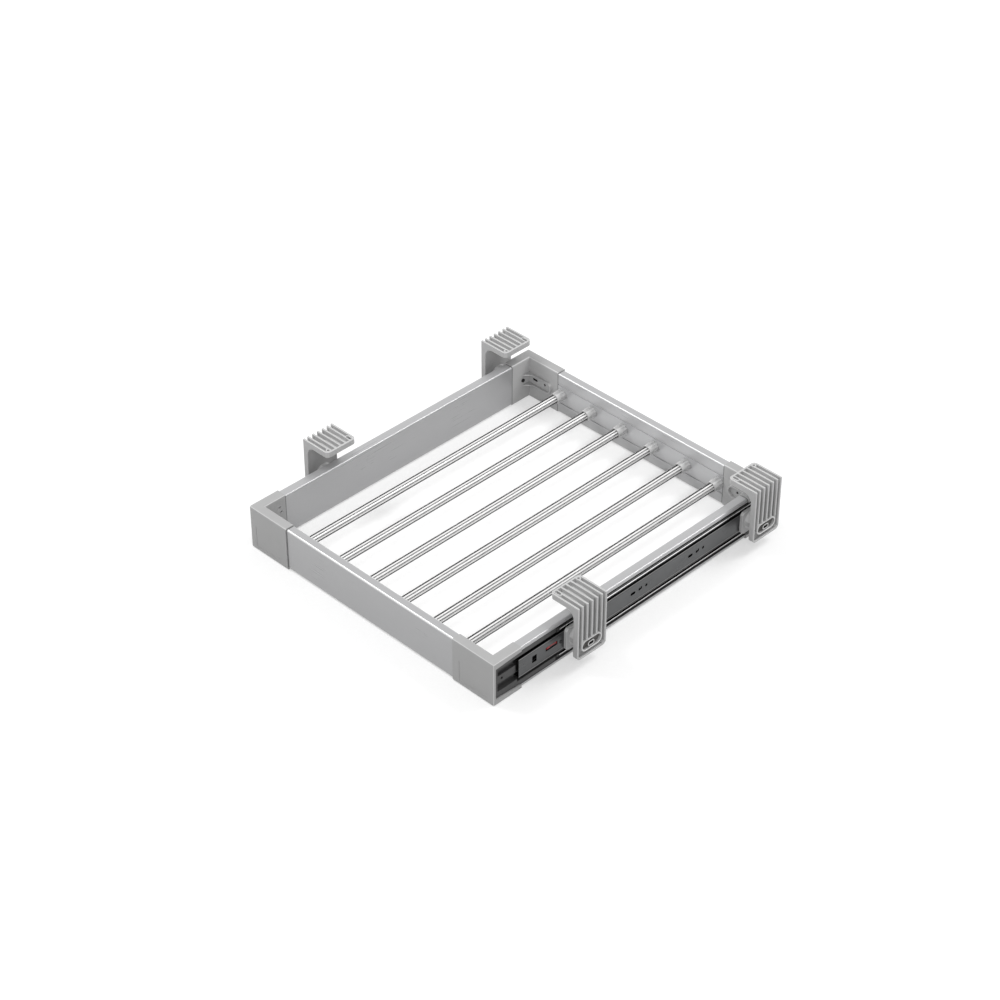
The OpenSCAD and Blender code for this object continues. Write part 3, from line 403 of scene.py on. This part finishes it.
# %% [markdown]
# ## Moulded parts
# Caps, sockets, spacers and brackets are moulded in one grey. A mould is spark-eroded to hide flow
# marks, which leaves a fine pebbled skin: small cells with soft noise in them. The colour drifts
# very slightly over a piece, where the melt met. Small edges carry a painted highlight, and upward
# faces can be painted lighter or darker than the rest, as light.

# %% Moulded grey
BEVELLED = (0.03, 0.06)
ROUNDED = (0.1, 0.24)
PEBBLES_PER_M = 2600.0


def edge_highlights(finish, colour):
    """Painted highlight on small bevels."""
    return finish.layered(colour, (finish.edges(*BEVELLED), 0.5, grey(0.85)))


def moulded_grey(name, low, high, roughness=0.46, painted_marks=edge_highlights, top=1.0):
    """Grey between two lightnesses; `top` scales the grey of upward faces, a painted light or shade."""
    finish = Finish(name)
    cells = {"Vector": finish.place, "Scale": PEBBLES_PER_M, "Smoothness": 0.7}
    pebbles = finish.node("ShaderNodeTexVoronoi", {"feature": "SMOOTH_F1"}, cells)
    grain = finish.noise(6000, detail=2)
    drift = finish.noise(30, detail=3)
    tone = 0.5 + drift * 0.9 + grain * 0.4
    on_top = finish.mixed(tone, grey(low * top), grey(high * top))
    colour = finish.mixed(finish.tops(), finish.mixed(tone, grey(low), grey(high)), on_top)
    return finish.surface(
        Base_Color=painted_marks(finish, colour),
        Roughness=roughness + drift * 0.08 + grain * 0.06,
        Specular_IOR_Level=0.5,
        Normal=finish.bump(pebbles + grain * 0.4, 0.00004, 0.25),
    )


# %% Caps and sockets
BORE_DEEP, BORE_SHALLOW = (0.0138, 0.0136), (0.0066, 0.0068)
BORE_HEIGHT = (0.00185, 0.0018)
BORE_INNER = (0.0012, 0.0016)


def cap_bores(finish, colour):
    """Painted shade makes the blind bores in the corner rims as dark as deep holes; edges get a painted
    highlight.
    """
    x, y, z = finish.parts(finish.place)
    depth = RACK_END - (y - RACK_MIDDLE).size()
    in_wing = depth.below(*BORE_DEEP) * depth.above(*BORE_SHALLOW)
    in_bore = z.size().below(*BORE_HEIGHT) * x.size().short_of(RAIL_INNER, *BORE_INNER)
    rounded = finish.edges(*ROUNDED)
    return finish.layered(colour, (rounded, 0.5, grey(0.8)), (in_wing * in_bore, 1.0, grey(0.01)))


# Painted light: the back caps are the same moulding painted lighter, with their tops painted darker.
cap_grey = moulded_grey("moulded_grey_front_caps", 0.345, 0.395, painted_marks=cap_bores)
lit_back_cap_grey = moulded_grey("moulded_grey_back_caps_painted_lighter", 0.48, 0.54, painted_marks=cap_bores, top=0.71)
socket_grey = moulded_grey("moulded_grey_sockets", 0.42, 0.48)
print("mouldings:", cap_grey.name, lit_back_cap_grey.name, socket_grey.name)

# %% [markdown]
# The brackets have the most relief. The crests of their ribs and the rims of the foot recess and
# its slot carry painted highlights, and the grooves, the recess and its slot carry painted shade.
# Each of these is a distance in the bracket's own section: out from the middle of the rack, up, or
# along the slide from the middle of the bracket. The recess and the slot have round ends, so their
# distance runs from a short line.

# %% Brackets with painted highlights and shade
FOOT_STRAIGHT, FOOT_R = 0.0096, 0.0064
SLOT_STRAIGHT, SLOT_R, SLOT_Z = 0.002, 0.002, -0.0015
CREST_ON_FACE, CREST_ON_TOP = (0.0012, 0.0007), (0.0012, 0.0006)
FOOT_WALL, FOOT_DEPTH = (-0.0001, 0.0002), (0.006, 0.0055)
FOOT_RIM, FOOT_RIM_DEPTH = (-0.0013, -0.0010), (0.0006, 0.0003)
SLOT_WALL = (-0.0002, -0.0001)
SLOT_RIM, SLOT_RIM_DEPTH = (-0.0018, -0.0016), (0.0016, 0.0013)
GROOVE, GROOVE_DEPTH = (0.002, 0.0026), (0.0052, 0.0048)
BETWEEN_PLATES = (0.0245, 0.0243)


def bracket_highlights_and_shade(finish, colour):
    """Painted highlights on crests, bevels and rims; painted shade in the recess, slot and grooves."""
    x, y, z = finish.parts(finish.place)
    along, out = (y.size() - BRACKET_Y).size(), x.size()
    crest = out.reaching(BRACKET_FACE, *CREST_ON_FACE).larger(z.reaching(BRACKET_TOP, *CREST_ON_TOP))
    from_foot = finish.length((along - FOOT_STRAIGHT).larger(0), z)
    in_foot = from_foot.short_of(FOOT_R, *FOOT_WALL) * out.reaching(BRACKET_FACE, *FOOT_DEPTH)
    foot_rim = from_foot.short_of(FOOT_R, *FOOT_RIM) * out.reaching(BRACKET_FACE, *FOOT_RIM_DEPTH)
    from_slot = finish.length((along - SLOT_STRAIGHT).larger(0), z - SLOT_Z)
    slot_rim = from_slot.short_of(SLOT_R, *SLOT_RIM) * out.reaching(BRACKET_FACE, *SLOT_RIM_DEPTH)
    in_slot = from_slot.short_of(SLOT_R, *SLOT_WALL) * in_foot
    groove = z.short_of(BRACKET_TOP, *GROOVE) * out.short_of(BRACKET_FACE, *GROOVE)
    groove_floor = out.reaching(BRACKET_FACE, *GROOVE_DEPTH) * along.below(*BETWEEN_PLATES)
    return finish.layered(
        colour,
        (groove * groove_floor, 0.45, grey(0.08)),
        (crest, 0.08, grey(0.72)),
        (finish.edges(*BEVELLED), 0.35, grey(0.8)),
        (in_foot, 0.85, grey(0.05, 0.08)),
        (foot_rim, 0.6, grey(0.85)),
        (slot_rim, 0.8, grey(0.7)),
        (in_slot, 1.0, grey(0.006)),
    )


bracket_grey = moulded_grey("moulded_grey_brackets", 0.43, 0.49, 0.5, bracket_highlights_and_shade)
spacer_grey = moulded_grey("moulded_grey_spacers", 0.46, 0.52, 0.5)
print("brackets:", bracket_grey.name, spacer_grey.name)

# %% [markdown]
# ## Zinc-plated steel
# The slide members are cold-rolled strip with a zinc plate. It is a dark mirror with a haze: rolling
# lines along the strip, and slow clouds in the plate. Lips and face edges carry painted highlights,
# and the insides behind them, where the balls run, are painted dark as shade.


# %% Zinc plate
def zinc_plate(name, low, high, roughness=0.3, along=(1, 0.008, 1), shaded=None):
    finish = Finish(name)
    rolling = finish.noise(1300, detail=4, stretch=along, roughness=0.6)
    clouds = finish.noise(42, detail=4, stretch=(1, 0.5, 1), roughness=0.6)
    tone = 0.5 + clouds * 1.1 + rolling * 0.6
    colour = finish.mixed(tone, grey(low, -0.01), grey(high, -0.02))
    return finish.surface(
        Base_Color=shaded(finish, colour) if shaded else colour,
        Metallic=1.0,
        Roughness=roughness + clouds * 0.12 + rolling * 0.14,
        Normal=finish.bump(rolling, 0.00003, 0.25),
    )


# %% Lips and edges with painted highlights, insides with painted shade
# Painted shade for insides and gaps.
GAP_SHADE = grey(0.05)
LIP_EDGE = 0.01935
OUTER_FACE = (0.0008, 0.0004)
RACK_INSIDE, CABINET_INSIDE, FLANGE_INSIDE = (0.0006, 0.001), (0.0003, 0.0006), (0.0008, 0.0012)
UPPER_LIP, BEHIND_LIP, LOWER_LIP = (0.0016, 0.0013), (0.0015, 0.002), (0.0011, 0.0008)
DARK_LINE, LIGHT_LINE, EDGE_LINE = (0.0029, 0.0026), (0.0021, 0.0018), (0.0007, 0.0005)


def rack_member_shades(finish, colour):
    """Painted highlights at the lip ends; painted shade inside and on the upper lip's rounded corner."""
    x, _, z = finish.parts(finish.place)
    out, upper = x.size(), z.above(0, 0.001)
    face = out.reaching(RAIL_FACE, *OUTER_FACE)
    past_lip = z - LIP_EDGE
    return finish.layered(
        colour,
        (out.short_of(RAIL_FACE, *RACK_INSIDE), 1.0, GAP_SHADE),
        (face * upper * past_lip.below(*UPPER_LIP), 1.0, grey(1.0)),
        (face * upper * past_lip.above(*BEHIND_LIP), 0.6, grey(0.02)),
        (face * (1 - upper) * (z.size() - LIP_EDGE).below(*LOWER_LIP), 1.0, grey(0.95)),
    )


def middle_member_shades(finish, colour):
    """Painted shade darkens all but the outer faces of the flanges."""
    z = finish.parts(finish.place)[2]
    return finish.layered(colour, (z.size().short_of(LIP_EDGE, *FLANGE_INSIDE), 1.0, GAP_SHADE))


def cabinet_member_shades(finish, colour):
    """Painted shade behind the face; by each face edge a painted highlight line between two shade lines.
    """
    x, _, z = finish.parts(finish.place)
    out, up = x.size(), z.size()
    face = out.reaching(RAIL_FACE, *OUTER_FACE)
    return finish.layered(
        colour,
        (out.short_of(RAIL_FACE, *CABINET_INSIDE), 1.0, grey(0.045)),
        (face * up.reaching(FACE_EDGE, *DARK_LINE), 0.8, grey(0.03)),
        (face * up.reaching(FACE_EDGE, *LIGHT_LINE), 0.8, grey(0.27)),
        (face * up.reaching(FACE_EDGE, *EDGE_LINE), 0.9, grey(0.02)),
    )


# %% The zinc finishes
EVEN = (1, 1, 1)
zinc_rack = zinc_plate("zinc_plate_rack_members", 0.11, 0.15, shaded=rack_member_shades)
zinc_middle = zinc_plate("zinc_plate_middle_members", 0.1, 0.14, shaded=middle_member_shades)
zinc_cabinet = zinc_plate("zinc_plate_cabinet_members", 0.095, 0.135, shaded=cabinet_member_shades)
zinc_bright = zinc_plate("zinc_plate_bright", 0.4, 0.55, 0.24, EVEN)
zinc_small = zinc_plate("zinc_plate_small_parts", 0.16, 0.24, 0.3, EVEN)
print("zinc:", zinc_cabinet.name, zinc_bright.name, zinc_small.name)

# %% [markdown]
# ## Balls, levers, buffers and black screws
# The balls are polished steel with the faintest tumbling marks. The release levers are a red
# moulding, a little glossier than the grey one, and shaded under the thumb tab. Buffers and channel
# inserts are soft plastic, and the black screws and pins are steel with a thin oily oxide.

# %% Polished balls
polish = Finish("polished_ball_steel")
tumbling = polish.noise(2400, detail=3)
ball_steel = polish.surface(
    Base_Color=polish.mixed(0.5 + tumbling, grey(0.62, -0.01), grey(0.74, -0.01)),
    Metallic=1.0,
    Roughness=0.1 + tumbling * 0.06,
)
print("balls:", ball_steel.name)

# %% Red moulding of the levers
DEEP_RED, LIGHT_RED, SHADED_RED = (0.3, 0.007, 0.008, 1), (0.42, 0.016, 0.014, 1), (0.012, 0.004, 0.004, 1)
SHADE_MIDDLE, SHADE_HALF = LEVER_TIP + 0.0105, (0.0062, 0.0058)
TAB_HEIGHT = (0.0029, 0.0025)

red = Finish("moulded_red")
red_grain = red.noise(5200, detail=2)
red_drift = red.noise(60, detail=2)
red_tone = red.mixed(0.5 + red_drift + red_grain * 0.3, DEEP_RED, LIGHT_RED)
_, lever_y, lever_z = red.parts(red.place)
under_tab = (lever_y - SHADE_MIDDLE).size().below(*SHADE_HALF) * lever_z.below(*TAB_HEIGHT)
lever_red = red.surface(
    Base_Color=red.mixed(under_tab, red_tone, SHADED_RED),
    Roughness=0.33 + red_grain * 0.1,
    Normal=red.bump(red_grain, 0.00003, 0.25),
)
print("levers:", lever_red.name)


# %% Black plastic and black oxide
def blackened(name, low, high, roughness, metallic):
    finish = Finish(name)
    grain = finish.noise(4200, detail=2)
    drift = finish.noise(90, detail=3)
    return finish.surface(
        Base_Color=finish.mixed(0.5 + drift + grain * 0.4, grey(low), grey(high)),
        Metallic=metallic,
        Roughness=roughness + drift * 0.1 + grain * 0.08,
        Normal=finish.bump(grain, 0.00003, 0.3),
    )


black_plastic = blackened("black_plastic", 0.012, 0.03, 0.48, 0.0)
dark_plastic = blackened("dark_plastic", 0.028, 0.045, 0.42, 0.0)
black_oxide = blackened("black_oxide", 0.02, 0.05, 0.34, 0.8)
print("dark finishes:", black_plastic.name, dark_plastic.name, black_oxide.name)

# %% [markdown]
# ## Dressing the CAD nodes
# A CAD node whose shape is right stays where it is and only takes a finish. The tables below give
# each node its finish by its name, or by how its name starts or ends.

# %% Finishes by node
finish_of = {
    "front_rail": satin_across,
    "back_rail": lit_satin_back,
    "left_rail": satin_deep,
    "right_rail": satin_deep,
    "corner_screws": black_oxide,
    "slide_screws": zinc_small,
    "slide_buffers": black_plastic,
    "lever_pins": black_oxide,
    "spacer_screws": zinc_bright,
}
finish_by_ending = {
    "_sockets": socket_grey,
    "_bracket": bracket_grey,
    "_spacer": spacer_grey,
    "_rack_member": zinc_rack,
    "_middle_member": zinc_middle,
    "_cabinet_member": zinc_cabinet,
    "_cage": zinc_small,
    "_balls": ball_steel,
    "_release_lever": lever_red,
    "_channel_insert": dark_plastic,
}
for name in nodes:
    if name.startswith("bar_"):
        finish_of[name] = bright_tube
    elif name.endswith("_cap"):
        finish_of[name] = lit_back_cap_grey if name.startswith("back_") else cap_grey
    for ending, finish in finish_by_ending.items():
        if name.endswith(ending):
            finish_of[name] = finish


def dress(piece, finish):
    piece.data.materials.clear()
    piece.data.materials.append(finish)


for name, piece in nodes.items():
    dress(piece, finish_of[name])
print(len(finish_of), "nodes have their finish")

# %% [markdown]
# ## Softer edges
# A moulding never has a knife edge, and its small radii catch the light as thin bright lines. The
# CAD nodes of the brackets, spacers and sockets are exact but sharp, so each one is copied, its
# loose triangles are welded, and every edge that turns by more than a set angle is bevelled. The
# curved faces are shaded smoothly and the small bevels stay flat.

# %% Welded copies with bevelled edges
WELD = 0.000002
BEVEL_WIDTH = 0.0003
SHARP_FROM, SMOOTH_UP_TO = math.radians(50), math.radians(20)


def softened(name):
    """A copy of a CAD node with bevelled edges, which stands for that node."""
    form = bmesh.new()
    form.from_mesh(nodes[name].data)
    bmesh.ops.remove_doubles(form, verts=form.verts, dist=WELD)
    sharp = [e for e in form.edges if e.is_manifold and e.calc_face_angle() > SHARP_FROM]
    bmesh.ops.bevel(
        form,
        geom=sharp,
        offset=BEVEL_WIDTH,
        offset_type="OFFSET",
        segments=2,
        profile=0.5,
        affect="EDGES",
        material=-1,
        clamp_overlap=False,
    )
    mesh = bpy.data.meshes.new(name + "_soft")
    form.to_mesh(mesh)
    form.free()
    mesh.shade_smooth()
    mesh.set_sharp_from_angle(angle=SMOOTH_UP_TO)
    piece = bpy.data.objects.new(name + "_soft", mesh)
    bpy.context.scene.collection.objects.link(piece)
    dress(piece, finish_of[name])
    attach(piece, nodes[name]["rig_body"])
    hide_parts(name)
    return piece


soft_names = [name for name in sorted(nodes) if name.endswith(("_bracket", "_spacer", "_sockets"))]
for piece in [softened(name) for name in soft_names]:
    print(piece.name, "has", len(piece.data.polygons), "faces")

# %% [markdown]
# ## Floor, world and lamps
# The photograph has a plain white ground. The floor is pale and takes the rack's shadow, and only
# rays that the camera, a gloss or a glass sends out see it lifted to white. The lamps are large and
# soft: one at the left, one behind, and a weaker one beside the camera.

# %% A floor that keeps the shadow
FLOOR_GLOW = 0.42
FLOOR_REACH = 12
FLOOR_GAP = 0.0002


def seen_directly(finish):
    """One for rays from the camera, from a gloss or through glass, and zero for the light itself."""
    outs = {s.name: s for s in finish.node("ShaderNodeLightPath").socket.node.outputs}
    rays = [Level(finish, outs[f"Is {kind} Ray"]) for kind in ("Camera", "Glossy", "Transmission")]
    any_ray = rays[0] + rays[1] + rays[2]
    return finish.node("ShaderNodeMath", {"operation": "MINIMUM"}, {0: any_ray, 1: 1.0})


floor_finish = Finish("pale_floor")
speckle = floor_finish.noise(60, detail=4)
paper = floor_finish.mixed(0.5 + speckle, grey(0.59), grey(0.61))
matt = floor_finish.node("ShaderNodeBsdfDiffuse", None, {"Color": paper})
lift = {"Color": grey(1.0), "Strength": seen_directly(floor_finish) * FLOOR_GLOW}
glow = floor_finish.node("ShaderNodeEmission", None, lift)
both = floor_finish.node("ShaderNodeAddShader", None, {0: matt, 1: glow})
floor_finish.node("ShaderNodeOutputMaterial", None, {"Surface": both})

plan = bmesh.new()
bmesh.ops.create_grid(plan, x_segments=1, y_segments=1, size=FLOOR_REACH)
bmesh.ops.translate(plan, verts=plan.verts, vec=(0, 0, cad_box[0].z - FLOOR_GAP))
floor_mesh = bpy.data.meshes.new("floor")
plan.to_mesh(floor_mesh)
plan.free()
floor = bpy.data.objects.new("floor", floor_mesh)
bpy.context.scene.collection.objects.link(floor)
dress(floor, floor_finish.material)
print("floor at", round(cad_box[0].z, 4))

# %% White world
ROOM_LIGHT = 0.6
world = bpy.data.worlds.new("white_room")
bpy.context.scene.world = world
room = Finish("white_room", world)
strength = ROOM_LIGHT + seen_directly(room) * (1 - ROOM_LIGHT)
backdrop = room.node("ShaderNodeBackground", None, {"Color": grey(1.0), "Strength": strength})
room.node("ShaderNodeOutputWorld", None, {"Surface": backdrop})
print("world:", world.name)

# %% Soft lamps
RACK_CENTRE = Vector((0, -0.05, 0))


def soft_lamp(name, place, size, watts):
    """A round lamp that points at the middle of the rack."""
    lamp = bpy.data.lights.new(name, "AREA")
    lamp.shape = "DISK"
    lamp.size = size
    lamp.energy = watts
    holder = bpy.data.objects.new(name, lamp)
    holder.location = place
    holder.rotation_euler = (RACK_CENTRE - Vector(place)).to_track_quat("-Z", "Y").to_euler()
    bpy.context.scene.collection.objects.link(holder)


soft_lamp("left_softbox", (-1.69, -0.77, 2.37), 1.28, 34)
soft_lamp("back_softbox", (0.72, 1.64, 2.37), 1.28, 34)
soft_lamp("front_fill", (1.95, -1.75, 2.2), 1.5, 20)
print("lamps are on")

# %% [markdown]
# ## The view
# Colours come out as they are written with the Standard transform, and nothing is done to the
# picture afterwards.

# %% View settings
bpy.context.scene.view_settings.view_transform = "Standard"
